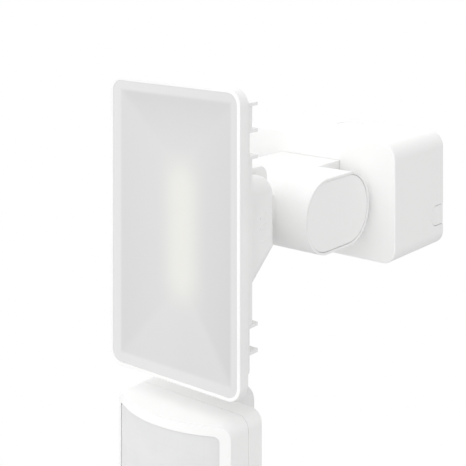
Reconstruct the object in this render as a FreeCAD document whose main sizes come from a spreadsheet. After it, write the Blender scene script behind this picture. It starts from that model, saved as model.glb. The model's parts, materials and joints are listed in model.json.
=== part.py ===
"""Wall floodlight with a security camera unit below the lamp, as a parametric document.

Millimetres, +Z up. The origin is the centre of the junction box's back edge, on the wall.
The device stands out from the wall along -Y, so "reach" means the distance from the wall (-Y).
"""
import FreeCAD, Part
import Sketcher
import math
import os
import re

doc = FreeCAD.newDocument("floodlight_camera")

# ---------------------------------------------------------------- driving dimensions
SIZES = {
    # junction box on the wall
    "box_width": 190, "box_height": 111, "box_depth": 91.6, "box_corner": 14, "box_wall": 2.5,
    "conduit_hole": 13.5, "conduit_reach": 20.1, "tab_radius": 10, "tab_reach": 23.4,
    "tab_level": -24.5, "tab_gap": 0.6, "plate_gauge": 2, "gasket_gauge": 2, "plate_inset": 3.2,
    "wall_hole_pitch": 84, "wall_hole": 2.5, "cable_hole": 10,
    # bracket arm and barrel
    "arm_half": 34, "arm_top": 34.3, "arm_bottom": -22, "arm_gap": 0.15,
    "barrel_half": 71, "barrel_back": 98.1, "barrel_front": 199.6, "barrel_bottom": -32.3,
    "barrel_round": 33.1, "barrel_wall": 3, "cap_lip": 2.2, "cap_gap": 0.35, "cap_gauge": 3,
    # tilting joint of the lamp head
    "pivot_reach": 229.6, "pivot_level": 27, "pivot_pin": 5, "neck_radius": 21, "neck_half": 32,
    "web_top": 20, "washer_gauge": 1.5, "running_gap": 0.05,
    # lamp head
    "head_width": 145, "head_top": 127, "head_bottom": -124, "head_reach": 292.6,
    "frame_depth": 10.6, "head_corner": 13, "rim": 3.1, "lens_gauge": 2.6, "lens_gap": 0.05,
    "lens_sink": 0.1, "sink_half": 70, "sink_top": 118, "sink_bottom": -107, "sink_reach": 277,
    "pad_reach": 272.3, "fin_reach": 265.6, "fin_gauge": 2.8, "fin_pitch": 21.6, "upper_fin": 70,
    "lower_fin": -88, "tray_floor": 278.8, "board_half": 12, "board_height": 116,
    "board_gauge": 1.4, "chip": 3.4, "chip_pitch": 11,
    # driver pod on the back of the lamp head
    "pod_half": 52, "pod_top": 44.8, "pod_back": 214, "pod_heel": -19.3, "pod_round": 18.8,
    "pod_edge": 12, "pod_toe": -73.3, "pod_wall": 3, "pod_side_wall": 6, "pod_roof": 7,
    "slot_half": 33.6, "slot_depth": 252.6, "rib_reach": 230.5,
    # drop arm and swivel of the camera unit
    "drop_half": 11, "drop_flange": 26, "drop_joint": -2, "drop_back": 200.6, "drop_front": 216.6,
    "pan_reach": 221.6, "collar_radius": 16, "collar_top": -134, "collar_bottom": -146,
    "knuckle_top": -149.1, "knuckle_bottom": -186, "knuckle_radius": 25, "knuckle_flat": 234.6,
    "pan_bolt": 4, "unit_pivot_reach": 243.1, "unit_pivot_level": -168, "ear_radius": 6.4,
    "tongue_half": 9.8, "ear_inner": 10.3, "ear_outer": 17, "unit_pin": 2.5,
    # camera and motion sensor unit
    "unit_half": 62.7, "unit_top": -144, "unit_bottom": -276, "unit_back": 249.9,
    "unit_seam": 269.6, "unit_front": 313.3, "unit_curve": 103.4, "unit_corner": 10.5,
    "unit_wall": 2.5, "window_half": 54.7, "window_top": -152.8, "window_bottom": -213.5,
    "screw_inset": 7, "window_corner": 4, "window_gap": 0.5, "window_gauge": 2, "lens_level": -245,
    "lens_opening": 17, "light_level": -221.5, "light_radius": 1.5, "button_side": 32,
    "button_reach": 260.6, "button_radius": 3.5, "button_travel": 0.8, "speaker_side": -26,
    "speaker_reach": 284, "speaker_radius": 14,
}

sheet = doc.addObject("Spreadsheet::Sheet", "Sizes")
for row, (alias, number) in enumerate(SIZES.items(), start=1):
    sheet.set(f"A{row}", alias)
    sheet.set(f"B{row}", str(number))
    sheet.setAlias(f"B{row}", alias)
scratch = doc.addObject("Spreadsheet::Sheet", "Scratch")
doc.recompute()


# ---------------------------------------------------------------- small tools
def linked(text):
    """An arithmetic text of alias names, as an expression that reads the sheet."""
    return re.sub(r"[a-z][a-z_]*", lambda name: "Sizes." + name.group(), str(text))


def link(item, attribute, text):
    item.setExpression(attribute, linked(text))


def place(item, x, reach, z):
    """Put an object's base point at side x, distance reach from the wall and height z."""
    link(item, "Placement.Base.x", x)
    link(item, "Placement.Base.y", f"-({reach})")
    link(item, "Placement.Base.z", z)


def block(name, x, reach, z):
    """A box between low and high values of side, reach and height."""
    item = doc.addObject("Part::Box", name)
    link(item, "Length", f"({x[1]}) - ({x[0]})")
    link(item, "Width", f"({reach[1]}) - ({reach[0]})")
    link(item, "Height", f"({z[1]}) - ({z[0]})")
    place(item, x[0], reach[1], z[0])
    return item


TURN_FOR_AXIS = {
    "side": FreeCAD.Rotation(FreeCAD.Vector(0, 1, 0), 90),
    "reach": FreeCAD.Rotation(FreeCAD.Vector(1, 0, 0), 90),
    "height": FreeCAD.Rotation(),
}


def rod(name, axis, radius, x, reach, z):
    """A cylinder along one axis. The value along that axis is a (low, high) pair."""
    item = doc.addObject("Part::Cylinder", name)
    item.Placement = FreeCAD.Placement(FreeCAD.Vector(), TURN_FOR_AXIS[axis])
    span = {"side": x, "reach": reach, "height": z}[axis]
    link(item, "Radius", radius)
    link(item, "Height", f"({span[1]}) - ({span[0]})")
    ends = [value[0] if isinstance(value, tuple) else value for value in (x, reach, z)]
    place(item, *ends)
    return item


def fuse(name, *pieces):
    item = doc.addObject("Part::MultiFuse", name)
    item.Shapes = list(pieces)
    return item


def common(name, first, second):
    item = doc.addObject("Part::Common", name)
    item.Base = first
    item.Tool = second
    return item


def cut(name, base, *tools):
    tool = tools[0] if len(tools) == 1 else fuse(name + "_cuts", *tools)
    item = doc.addObject("Part::Cut", name)
    item.Base = base
    item.Tool = tool
    return item


PLANES = {"top": "XY_Plane", "front": "XZ_Plane", "side": "YZ_Plane"}


def sketch_in(body, name, plane, offset="0"):
    """A sketch on an origin plane. Front planes face -Y, so their offset is a reach."""
    sketch = body.newObject("Sketcher::SketchObject", name)
    role = PLANES[plane]
    sketch.AttachmentSupport = [(f, "") for f in body.Origin.OriginFeatures if f.Role == role]
    sketch.MapMode = "FlatFace"
    link(sketch, "AttachmentOffset.Base.z", offset)
    return sketch


def amount(text):
    """The number that an arithmetic text of alias names comes to."""
    scratch.set("A1", "=" + linked(text))
    scratch.recompute()
    return float(scratch.get("A1"))


def point(corner):
    return FreeCAD.Vector(amount(corner[0]), amount(corner[1]), 0)


def bind(sketch, kind, geometry, end, text):
    """Hold one coordinate of a line's end or a circle's centre at a value from the sheet."""
    index = sketch.addConstraint(Sketcher.Constraint(kind, -1, 1, geometry, end, amount(text)))
    link(sketch, f"Constraints[{index}]", text)


def bind_radius(sketch, geometry, text):
    index = sketch.addConstraint(Sketcher.Constraint("Radius", geometry, amount(text)))
    link(sketch, f"Constraints[{index}]", text)


def outline(sketch, corners, closed=True):
    """Straight lines through the corners, with every corner bound to the sheet."""
    count = len(corners) if closed else len(corners) - 1
    for number in range(count):
        following = corners[(number + 1) % len(corners)]
        sketch.addGeometry(Part.LineSegment(point(corners[number]), point(following)), False)
    for number in range(count if closed else count - 1):
        sketch.addConstraint(Sketcher.Constraint("Coincident", number, 2, (number + 1) % count, 1))
    for number, corner in enumerate(corners):
        line, end = (number, 1) if number < count else (number - 1, 2)
        bind(sketch, "DistanceX", line, end, corner[0])
        bind(sketch, "DistanceY", line, end, corner[1])


def rectangle(sketch, low_x, high_x, low_y, high_y):
    outline(sketch, [(low_x, low_y), (high_x, low_y), (high_x, high_y), (low_x, high_y)])


def rounded_rectangle(sketch, low_x, high_x, low_y, high_y, corner):
    """Four lines and four tangent arcs, bound by their sides and one radius."""
    left, right, bottom, top, radius = map(amount, (low_x, high_x, low_y, high_y, corner))
    ends = [
        ((left + radius, bottom), (right - radius, bottom)),
        ((right, bottom + radius), (right, top - radius)),
        ((right - radius, top), (left + radius, top)), ((left, top - radius), (left, bottom + radius)),
    ]
    for start, end in ends:
        sketch.addGeometry(Part.LineSegment(FreeCAD.Vector(*start, 0), FreeCAD.Vector(*end, 0)), False)
    centres = [(right - radius, bottom + radius), (right - radius, top - radius),
               (left + radius, top - radius), (left + radius, bottom + radius)]
    for number, centre in enumerate(centres):
        ring = Part.Circle(FreeCAD.Vector(*centre, 0), FreeCAD.Vector(0, 0, 1), radius)
        start = (number - 1) * math.pi / 2
        sketch.addGeometry(Part.ArcOfCircle(ring, start, start + math.pi / 2), False)
    for number in range(4):
        arc, following = number + 4, (number + 1) % 4
        sketch.addConstraint(Sketcher.Constraint("Tangent", number, 2, arc, 1))
        sketch.addConstraint(Sketcher.Constraint("Tangent", arc, 2, following, 1))
        direction = "Vertical" if number % 2 else "Horizontal"
        sketch.addConstraint(Sketcher.Constraint(direction, number))
    for arc in (5, 6, 7):
        sketch.addConstraint(Sketcher.Constraint("Equal", 4, arc))
    bind(sketch, "DistanceY", 0, 1, low_y)
    bind(sketch, "DistanceX", 1, 1, high_x)
    bind(sketch, "DistanceY", 2, 1, high_y)
    bind(sketch, "DistanceX", 3, 1, low_x)
    bind_radius(sketch, 4, corner)


def circle(sketch, x, y, radius):
    ring = Part.Circle(point((x, y)), FreeCAD.Vector(0, 0, 1), amount(radius))
    index = sketch.addGeometry(ring, False)
    bind(sketch, "DistanceX", index, 3, x)
    bind(sketch, "DistanceY", index, 3, y)
    bind_radius(sketch, index, radius)


def worked(feature):
    """Recompute, and stop if this feature failed or made nothing."""
    doc.recompute()
    if "Invalid" in feature.State or "Error" in feature.State or feature.Shape.isNull():
        raise RuntimeError(feature.Name + " failed: " + feature.getStatusString())
    return feature


def pad(body, sketch, length, middle=False):
    feature = body.newObject("PartDesign::Pad", sketch.Name + "_pad")
    feature.Profile = sketch
    feature.Midplane = middle
    link(feature, "Length", length)
    return worked(feature)


def pocket(body, sketch, length, middle=False):
    """Cut along the sketch's own normal, and make sure that something was removed."""
    before = body.Shape.Volume
    feature = body.newObject("PartDesign::Pocket", sketch.Name + "_pocket")
    feature.Profile = sketch
    feature.Midplane = middle
    feature.Reversed = not middle
    link(feature, "Length", length)
    worked(feature)
    if body.Shape.Volume >= before - 1e-6:
        raise RuntimeError(feature.Name + " removed nothing")
    return feature


def straight_along(axis):
    """Pick straight edges that run along X, Y or Z."""
    def chosen(edge):
        if edge.Curve.TypeId != "Part::GeomLine":
            return False
        start, end = edge.Vertexes[0].Point, edge.Vertexes[-1].Point
        spans = [abs(a - b) for a, b in zip(start, end)]
        return spans["XYZ".index(axis)] > 0.999 * sum(spans)
    return chosen


def lying_at(axis, place_on_axis, tolerance=0.01):
    """Pick edges that lie wholly in the plane where the axis has this value."""
    def chosen(edge):
        box = edge.BoundBox
        low, high = getattr(box, axis + "Min"), getattr(box, axis + "Max")
        return abs(low - place_on_axis) < tolerance and abs(high - place_on_axis) < tolerance
    return chosen


def rounded(body, radius, *tests):
    """Fillet the body's edges that pass every test."""
    base = body.Tip
    names = [
        f"Edge{number}" for number, edge in enumerate(base.Shape.Edges, start=1)
        if all(test(edge) for test in tests)
    ]
    if not names:
        raise RuntimeError("no edge to round on " + base.Name)
    feature = body.newObject("PartDesign::Fillet", base.Name + "_round")
    feature.Base = (base, names)
    link(feature, "Radius", radius)
    return worked(feature)


def new_body(name):
    return doc.addObject("PartDesign::Body", name)


def front_plate(name, half, bottom, top, reach, corner):
    """A body that is a rounded rectangle in the front plane, between two reaches."""
    body = new_body(name)
    sketch = sketch_in(body, name + "_outline", "front", reach[0])
    rounded_rectangle(sketch, f"-({half})", half, bottom, top, corner)
    pad(body, sketch, f"({reach[1]}) - ({reach[0]})")
    return body


def front_opening(body, name, half, bottom, top, start, depth, corner):
    """Cut a rounded rectangular opening from reach start, outwards by depth."""
    sketch = sketch_in(body, name, "front", start)
    rounded_rectangle(sketch, f"-({half})", half, bottom, top, corner)
    return pocket(body, sketch, depth)


NODES = {}


def node(name, item):
    """Name a finished sub-part."""
    item.Label = name
    NODES[name] = item
    return item


# ---------------------------------------------------------------- junction box
def make_junction_box():
    cover = front_plate("cover_shell", "box_width / 2", "-box_height / 2", "box_height / 2",
                        ("0", "box_depth"), "box_corner")
    rounded(cover, "1.2", lying_at("Y", -amount("box_depth")))
    front_opening(cover, "cover_hollow", "box_width / 2 - box_wall", "box_wall - box_height / 2",
                  "box_height / 2 - box_wall", "0", "box_depth - box_wall", "box_corner - box_wall")
    hole = rod("conduit_opening", "height", "conduit_hole + 0.2", "0", "conduit_reach",
               ("box_height / 2 - 8", "box_height / 2 + 2"))
    tab_slots = []
    for side, low, high in (("right", "box_width / 2 - 6", "box_width / 2 + 2"),
                            ("left", "-box_width / 2 - 2", "6 - box_width / 2")):
        straight = block(f"slot_{side}", (low, high), ("-2", "tab_reach - tab_radius"),
                         ("tab_level - tab_radius", "tab_level + tab_radius"))
        end = rod(f"slot_end_{side}", "side", "tab_radius", (low, high), "tab_reach - tab_radius",
                  "tab_level")
        tab_slots += [straight, end]
    arm_opening = block("arm_opening", ("-arm_half - arm_gap", "arm_half + arm_gap"),
                        ("box_depth - 6", "box_depth + 2"), ("arm_bottom - arm_gap", "arm_top + arm_gap"))
    screw_holes = [
        rod(f"cover_screw_hole_{side}", "height", "2.2", f"{sign}60", "20",
            ("-box_height / 2 - 2", "8 - box_height / 2"))
        for side, sign in (("right", ""), ("left", "-"))
    ]
    node("junction_cover", cut("cover_cut", cover, hole, *tab_slots, arm_opening, *screw_holes))

    tabs = []
    for side, sign in (("right", 1), ("left", -1)):
        low, high = "box_width / 2 - box_wall", "box_width / 2 - 0.3"
        if sign < 0:
            low, high = "0.3 - box_width / 2", "box_wall - box_width / 2"
        body = block(f"tab_{side}", (low, high), ("0.1", "tab_reach - tab_radius"),
                     ("tab_level - tab_radius + tab_gap", "tab_level + tab_radius - tab_gap"))
        end = rod(f"tab_end_{side}", "side", "tab_radius - tab_gap", (low, high),
                  "tab_reach - tab_radius", "tab_level")
        inner = ("box_width / 2 - box_wall - 1.2", "box_width / 2 - box_wall")
        if sign < 0:
            inner = ("box_wall - box_width / 2", "box_wall + 1.2 - box_width / 2")
        bridge = block(f"tab_bridge_{side}", inner, ("4", "16"),
                       ("tab_level - tab_radius - 2", "tab_level + tab_radius + 2"))
        tabs.append(fuse(f"knockout_tab_{side}", body, end, bridge))
    node("side_knockout_tabs", fuse("side_tabs", *tabs))

    plug_top = rod("plug_disc", "height", "conduit_hole - 0.1", "0", "conduit_reach",
                   ("box_height / 2 - box_wall", "box_height / 2 - 0.4"))
    plug_lip = rod("plug_lip", "height", "conduit_hole + 0.9", "0", "conduit_reach",
                   ("box_height / 2 - box_wall - 1.5", "box_height / 2 - box_wall"))
    node("conduit_plug", fuse("plug", plug_top, plug_lip))


def make_wall_plate():
    inset = "box_width / 2 - box_wall - 0.3"
    gasket = front_plate("gasket_sheet", inset, "box_wall + 0.3 - box_height / 2",
                         "box_height / 2 - box_wall - 0.3", ("0", "gasket_gauge"), "box_corner - 3")
    opening = rod("gasket_cable_hole", "reach", "cable_hole", "0", ("-1", "gasket_gauge + 1"), "0")
    gasket_holes = [
        rod(f"gasket_hole_{side}", "reach", "wall_hole + 1", f"{sign}wall_hole_pitch / 2",
            ("-1", "gasket_gauge + 1"), "0")
        for side, sign in (("right", ""), ("left", "-"))
    ]
    node("wall_gasket", cut("wall_gasket_cut", gasket, opening, *gasket_holes))

    back, front = "gasket_gauge", "gasket_gauge + plate_gauge"
    plate = front_plate("plate_sheet", "box_width / 2 - box_wall - plate_inset",
                        "box_wall + plate_inset - box_height / 2",
                        "box_height / 2 - box_wall - plate_inset", (back, front), "8")
    tabs = [
        block(f"plate_tab_{side}", (low, high), (back, "34"),
              ("box_wall + 0.2 - box_height / 2", "box_wall + 0.2 + plate_gauge - box_height / 2"))
        for side, low, high in (("right", "50", "70"), ("left", "-70", "-50"))
    ]
    feet = [
        block(f"plate_foot_{side}", (low, high), (back, front),
              ("box_wall + 0.2 - box_height / 2", "12 - box_height / 2"))
        for side, low, high in (("right", "50", "70"), ("left", "-70", "-50"))
    ]
    plate_with_tabs = fuse("plate_with_tabs", plate, *tabs, *feet)
    holes = [rod("plate_cable_hole", "reach", "cable_hole", "0", (f"{back} - 1", f"{front} + 1"), "0")]
    for side, sign in (("right", ""), ("left", "-")):
        holes.append(rod(f"plate_wall_hole_{side}", "reach", "wall_hole", f"{sign}wall_hole_pitch / 2",
                         (f"{back} - 1", f"{front} + 1"), "0"))
        holes.append(rod(f"plate_tab_hole_{side}", "height", "1.7", f"{sign}60", "20",
                         ("-box_height / 2", "12 - box_height / 2")))
    node("wall_plate", cut("wall_plate_cut", plate_with_tabs, *holes))

    screws = []
    for side, sign in (("right", ""), ("left", "-")):
        shank = rod(f"cover_screw_shank_{side}", "height", "1.6", f"{sign}60", "20",
                    ("-box_height / 2", "12 - box_height / 2"))
        head = rod(f"cover_screw_head_{side}", "height", "3.4", f"{sign}60", "20",
                   ("-box_height / 2 - 2", "-box_height / 2"))
        recess = rod(f"cover_screw_recess_{side}", "height", "1.4", f"{sign}60", "20",
                     ("-box_height / 2 - 3", "-box_height / 2 - 0.8"))
        screws.append(cut(f"cover_screw_{side}", fuse(f"cover_screw_blank_{side}", shank, head), recess))
    node("cover_screws", fuse("cover_screw_set", *screws))


def make_terminals():
    base = block("terminal_base", ("-18", "18"), ("gasket_gauge + plate_gauge", "22"), ("18", "34"))
    wells = [
        rod(f"terminal_well_{number}", "reach", "2.6", f"{12 * number - 12}", ("14", "23"), "26")
        for number in range(3)
    ]
    mouths = [
        block(f"terminal_mouth_{number}", (f"{12 * number - 14.5}", f"{12 * number - 9.5}"),
              ("8", "13"), ("17", "22"))
        for number in range(3)
    ]
    node("terminal_block", cut("terminal_cut", base, *wells, *mouths))
    screws = []
    for number in range(3):
        side = f"{12 * number - 12}"
        body = rod(f"terminal_screw_body_{number}", "reach", "2.4", side, ("14", "18"), "26")
        slot = block(f"terminal_screw_slot_{number}", (f"{side} - 3", f"{side} + 3"), ("17", "19"),
                     ("25.6", "26.4"))
        screws.append(cut(f"terminal_screw_{number}", body, slot))
    node("terminal_screws", fuse("terminal_screw_set", *screws))

    lead = new_body("lead")
    path = sketch_in(lead, "lead_path", "side", "0")
    outline(path, [("-14", "16.8"), ("-14", "4"), ("-118", "4")], closed=False)
    section = sketch_in(lead, "lead_section", "top", "16.8")
    circle(section, "0", "-14", "3.2")
    pipe = lead.newObject("PartDesign::AdditivePipe", "lead_pipe")
    pipe.Profile = section
    pipe.Spine = path
    pipe.Transition = "Round corner"
    doc.recompute()
    node("power_lead", lead)


# ---------------------------------------------------------------- bracket arm
def barrel_section(body, name, inset, offset="0"):
    """The barrel's stadium outline in the side plane, drawn in from its surface by inset."""
    sketch = sketch_in(body, name, "side", offset)
    rounded_rectangle(sketch, f"({inset}) - barrel_front", f"-barrel_back - ({inset})",
                      f"barrel_bottom + {inset}", f"arm_top - ({inset})", f"barrel_round - ({inset})")
    return sketch


def make_bracket_arm():
    body = new_body("bracket_casting")
    pad(body, barrel_section(body, "barrel_outline", "0"), "2 * barrel_half", middle=True)
    arm = sketch_in(body, "arm_outline", "front", "box_depth - box_wall - 4")
    rectangle(arm, "-arm_half", "arm_half", "arm_bottom", "arm_top")
    pad(body, arm, "barrel_back + 41.5 - box_depth + box_wall + 4")
    flange = sketch_in(body, "flange_outline", "front", "box_depth - box_wall - 4")
    rectangle(flange, "-arm_half - 7", "arm_half + 7", "arm_bottom - 7", "arm_top + 7")
    pad(body, flange, "3.9")
    neck = sketch_in(body, "neck_outline", "side", "0")
    outline(neck, [
        ("-pivot_reach - neck_radius", "pivot_level - neck_radius"),
        ("-barrel_front", "drop_joint"),
        ("-barrel_front + 30", "drop_joint"),
        ("-barrel_front + 30", "web_top"),
        ("-barrel_front - 4", "web_top"),
        ("-barrel_front - 4", "pivot_level + neck_radius"),
        ("-pivot_reach - neck_radius", "pivot_level + neck_radius"),
    ])
    pad(body, neck, "2 * neck_half", middle=True)

    seat = sketch_in(body, "drop_seat_outline", "top", "drop_joint")
    rectangle(seat, "-drop_flange", "drop_flange", "-drop_front", "-drop_back - 1")
    pad(body, seat, "10")

    front_face = -amount("pivot_reach") - amount("neck_radius")
    neck_side = amount("neck_half")

    def on_neck_front(edge):
        box = edge.BoundBox
        return abs(box.YMin - front_face) < 0.01 and abs(box.YMax - front_face) < 0.01
    rounded(body, "neck_radius - 0.05", straight_along("X"), on_neck_front)

    def on_neck_back(edge):
        box = edge.BoundBox
        back = -amount("barrel_front") - 4
        top = amount("pivot_level") + amount("neck_radius")
        return abs(box.YMin - back) < 0.01 and abs(box.ZMin - top) < 0.01 and box.XLength > neck_side
    rounded(body, "10", straight_along("X"), on_neck_back)

    hollow = barrel_section(body, "barrel_hollow", "barrel_wall")
    pocket(body, hollow, "2 * barrel_half + 2", middle=True)
    arm_hollow = sketch_in(body, "arm_hollow", "front", "box_depth - box_wall - 5")
    rectangle(arm_hollow, "6 - arm_half", "arm_half - 6", "arm_bottom + 6", "arm_top - 6")
    pocket(body, arm_hollow, "26")

    ends = []
    for side, low, high in (("right", "barrel_half - cap_gauge - 0.6", "barrel_half + 1"),
                            ("left", "-barrel_half - 1", "cap_gauge + 0.6 - barrel_half")):
        seat = new_body(f"cap_seat_{side}")
        pad(seat, barrel_section(seat, f"cap_seat_outline_{side}", "cap_lip", low), f"({high}) - ({low})")
        ends.append(seat)
    pin_hole = rod("neck_pin_hole", "side", "pivot_pin + running_gap", ("-neck_half - 1", "neck_half + 1"),
                   "pivot_reach", "pivot_level")
    wire_hole = rod("neck_wire_hole", "reach", "5", "0", ("barrel_front - 8", "slot_depth"), "10")
    drop_holes = [
        rod(f"drop_bolt_hole_{side}", "height", "1.65", f"{sign}19", "(drop_back + drop_front) / 2",
            ("drop_joint - 1", "drop_joint + 7"))
        for side, sign in (("right", ""), ("left", "-"))
    ]
    flange_holes = [
        rod(f"flange_hole_{across}_{up}", "reach", "1.7", f"{across}37.5", ("box_depth - 8", "box_depth - 2"),
            level)
        for across in ("", "-") for up, level in (("low", "arm_bottom + 5"), ("high", "arm_top - 5"))
    ]
    node("bracket_arm", cut("bracket_cut", body, *ends, pin_hole, wire_hole, *drop_holes, *flange_holes))

    for side, low, high in (("right", "barrel_half - cap_gauge - 0.4", "barrel_half - 0.4"),
                            ("left", "0.4 - barrel_half", "cap_gauge + 0.4 - barrel_half")):
        cap = new_body(f"cap_{side}")
        pad(cap, barrel_section(cap, f"cap_outline_{side}", "cap_lip + cap_gap", low), f"({high}) - ({low})")
        outer = amount("barrel_half") - 0.4
        rounded(cap, "0.5", lying_at("X", outer if side == "right" else -outer))
        node(f"barrel_cap_{side}", cap)

    screws = []
    for across in ("", "-"):
        for up, level in (("low", "arm_bottom + 5"), ("high", "arm_top - 5")):
            shank = rod(f"arm_screw_shank_{across}_{up}", "reach", "1.6", f"{across}37.5",
                        ("box_depth - box_wall - 5", "box_depth - box_wall - 0.1"), level)
            head = rod(f"arm_screw_head_{across}_{up}", "reach", "3.2", f"{across}37.5",
                       ("box_depth - box_wall - 6.2", "box_depth - box_wall - 4"), level)
            screws.append(fuse(f"arm_screw_{across}_{up}", shank, head))
    node("arm_screws", fuse("arm_screw_set", *screws))


def make_drop_arm():
    body = new_body("drop_casting")
    column = sketch_in(body, "drop_outline", "top", "collar_bottom + 2")
    rounded_rectangle(column, "-drop_half", "drop_half", "-drop_front", "-drop_back", "5")
    pad(body, column, "drop_joint - collar_bottom - 4")
    flange = sketch_in(body, "drop_flange_outline", "top", "drop_joint - 3")
    rounded_rectangle(flange, "-drop_flange", "drop_flange", "-drop_front", "-drop_back - 1", "4")
    pad(body, flange, "3")
    collar = sketch_in(body, "collar_outline", "top", "collar_bottom")
    circle(collar, "0", "-pan_reach", "collar_radius")
    pad(body, collar, "collar_top - collar_bottom")
    bore = rod("collar_bore", "height", "pan_bolt + running_gap", "0", "pan_reach",
               ("collar_bottom - 1", "collar_top + 1"))
    head_room = rod("collar_head_room", "height", "7.4", "0", "pan_reach",
                    ("collar_top", "collar_top + 9"))
    middle = "(drop_back + drop_front) / 2"
    wire = rod("drop_wire_bore", "height", "3", "0", f"{middle} - 3", ("-112", "2"))
    holes = []
    bolts = []
    for side, sign in (("right", ""), ("left", "-")):
        holes.append(rod(f"drop_flange_hole_{side}", "height", "1.8", f"{sign}19", middle,
                         ("drop_joint - 4", "drop_joint + 1")))
        shank = rod(f"drop_bolt_shank_{side}", "height", "1.6", f"{sign}19", middle,
                    ("drop_joint - 4", "drop_joint + 6"))
        head = rod(f"drop_bolt_head_{side}", "height", "3.2", f"{sign}19", middle,
                   ("drop_joint - 5.4", "drop_joint - 3"))
        bolts.append(fuse(f"drop_bolt_{side}", shank, head))
    node("drop_arm", cut("drop_cut", body, bore, head_room, wire, *holes))
    node("drop_arm_bolts", fuse("drop_bolt_set", *bolts))


# ---------------------------------------------------------------- lamp head
def make_head_frame():
    back = "head_reach - frame_depth"
    frame = front_plate("frame_ring", "head_width / 2", "head_bottom", "head_top",
                        (back, "head_reach"), "head_corner")
    rounded(frame, "0.5", lying_at("Y", -amount("head_reach")))
    front_opening(frame, "lens_seat", "head_width / 2 - rim", "head_bottom + rim", "head_top - rim",
                  "head_reach - lens_gauge - lens_sink - 0.8", "lens_gauge + 2", "head_corner - rim")
    front_opening(frame, "frame_opening", "head_width / 2 - rim - 3.5", "head_bottom + rim + 3.5",
                  "head_top - rim - 3.5", f"{back} - 1", "frame_depth", "head_corner - rim - 3")
    floor = sketch_in(frame, "frame_floor", "front", back)
    rounded_rectangle(floor, "3.2 - head_width / 2", "head_width / 2 - 3.2", "head_bottom + 3.2",
                      "head_top - 3.2", "9")
    pad(frame, floor, "1.6")
    front_opening(frame, "floor_opening", "sink_half - 7", "sink_bottom + 7", "sink_top - 7",
                  f"{back} - 1", "3", "5")
    holes = [
        rod(f"frame_screw_hole_{number}", "reach", "1.55", side, (f"{back} - 1", f"{back} + 3"), level)
        for number, (side, level) in enumerate(frame_screw_places())
    ]
    node("head_frame", cut("frame_cut", frame, *holes))


def frame_screw_places():
    """Side and height of the screws that hold the heat sink to the frame."""
    sides = ("sink_half - 4.5", "4.5 - sink_half")
    levels = ("lower_fin - 10", "upper_fin + fin_pitch / 2")
    return [(side, level) for side in sides for level in levels]


def make_heat_sink():
    seat = "head_reach - frame_depth"
    sink = front_plate("sink_base", "sink_half", "sink_bottom", "sink_top", ("sink_reach", seat), "6")
    upper_strip = ("upper_fin + fin_pitch", "upper_fin + 2 * fin_pitch")
    lower_strip = ("lower_fin + fin_pitch", "upper_fin")
    for name, span in (("upper", upper_strip), ("lower", lower_strip)):
        for side, low, high in (("right", "pod_half + 2", "sink_half - 1"),
                                ("left", "1 - sink_half", "-pod_half - 2")):
            strip = sketch_in(sink, f"sink_strip_{name}_{side}", "front", "pad_reach")
            rectangle(strip, low, high, span[0], span[1])
            pad(sink, strip, "sink_reach - pad_reach + 0.5")
    levels = [f"upper_fin + {number} * fin_pitch" for number in range(3)]
    levels += [f"lower_fin + {number} * fin_pitch" for number in range(2)]
    for number, level in enumerate(levels):
        fin = sketch_in(sink, f"fin_{number}", "top", f"{level} - fin_gauge / 2")
        rounded_rectangle(fin, "-sink_half", "sink_half", f"0.1 - ({seat})", "-fin_reach", "0.8")
        pad(sink, fin, "fin_gauge")
    clearance = sketch_in(sink, "pod_clearance", "front", "fin_reach - 1")
    rectangle(clearance, "-pod_half - 1", "pod_half + 1", "pod_toe - 1", "0")
    pocket(sink, clearance, "sink_reach - fin_reach + 1")
    tray = sketch_in(sink, "sink_tray", "front", "tray_floor")
    rounded_rectangle(tray, "9.5 - sink_half", "sink_half - 9.5", "sink_bottom + 8", "sink_top - 8", "4")
    pocket(sink, tray, f"{seat} - tray_floor + 1")
    holes = [
        rod(f"sink_screw_hole_{number}", "reach", "1.8", side, ("pad_reach - 1", f"{seat} + 1"), level)
        for number, (side, level) in enumerate(frame_screw_places())
    ]
    seats = [
        rod(f"sink_screw_seat_{number}", "reach", "2.9", side, ("sink_reach - 1", "sink_reach + 2"), level)
        for number, (side, level) in enumerate(frame_screw_places())
    ]
    wire = rod("sink_wire_hole", "reach", "4", "30", ("pad_reach - 1", f"{seat} + 1"), "20")
    pod_holes = [
        rod(f"sink_pod_hole_{number}", "reach", "1.55", side, ("pad_reach - 1", "tray_floor + 1"), level)
        for number, (side, level) in enumerate(pod_screw_places())
    ]
    board_holes = [
        rod(f"sink_board_hole_{number}", "reach", "1.2", "0", ("sink_reach - 1", "tray_floor + 1"), level)
        for number, level in enumerate(board_screw_levels())
    ]
    node("heat_sink", cut("sink_cut", sink, *holes, *seats, wire, *pod_holes, *board_holes))

    screws = []
    for number, (side, level) in enumerate(frame_screw_places()):
        shank = rod(f"frame_screw_shank_{number}", "reach", "1.5", side,
                    ("sink_reach + 1.5", f"{seat} + 1.5"), level)
        head = rod(f"frame_screw_head_{number}", "reach", "2.7", side,
                   ("sink_reach + 0.2", "sink_reach + 2"), level)
        recess = rod(f"frame_screw_recess_{number}", "reach", "1.2", side,
                     ("sink_reach - 1", "sink_reach + 1.2"), level)
        screws.append(cut(f"frame_screw_{number}", fuse(f"frame_screw_blank_{number}", shank, head), recess))
    node("frame_screws", fuse("frame_screw_set", *screws))


def board_screw_levels():
    return ["2 - board_height / 2 + 5", "2 + board_height / 2 - 5"]


def pod_screw_places():
    """Side and height of the screws that hold the driver pod to the heat sink."""
    return [(side, level) for side in ("pod_half - 8", "8 - pod_half")
            for level in ("pod_toe + 15", "pod_top - 9")]


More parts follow.
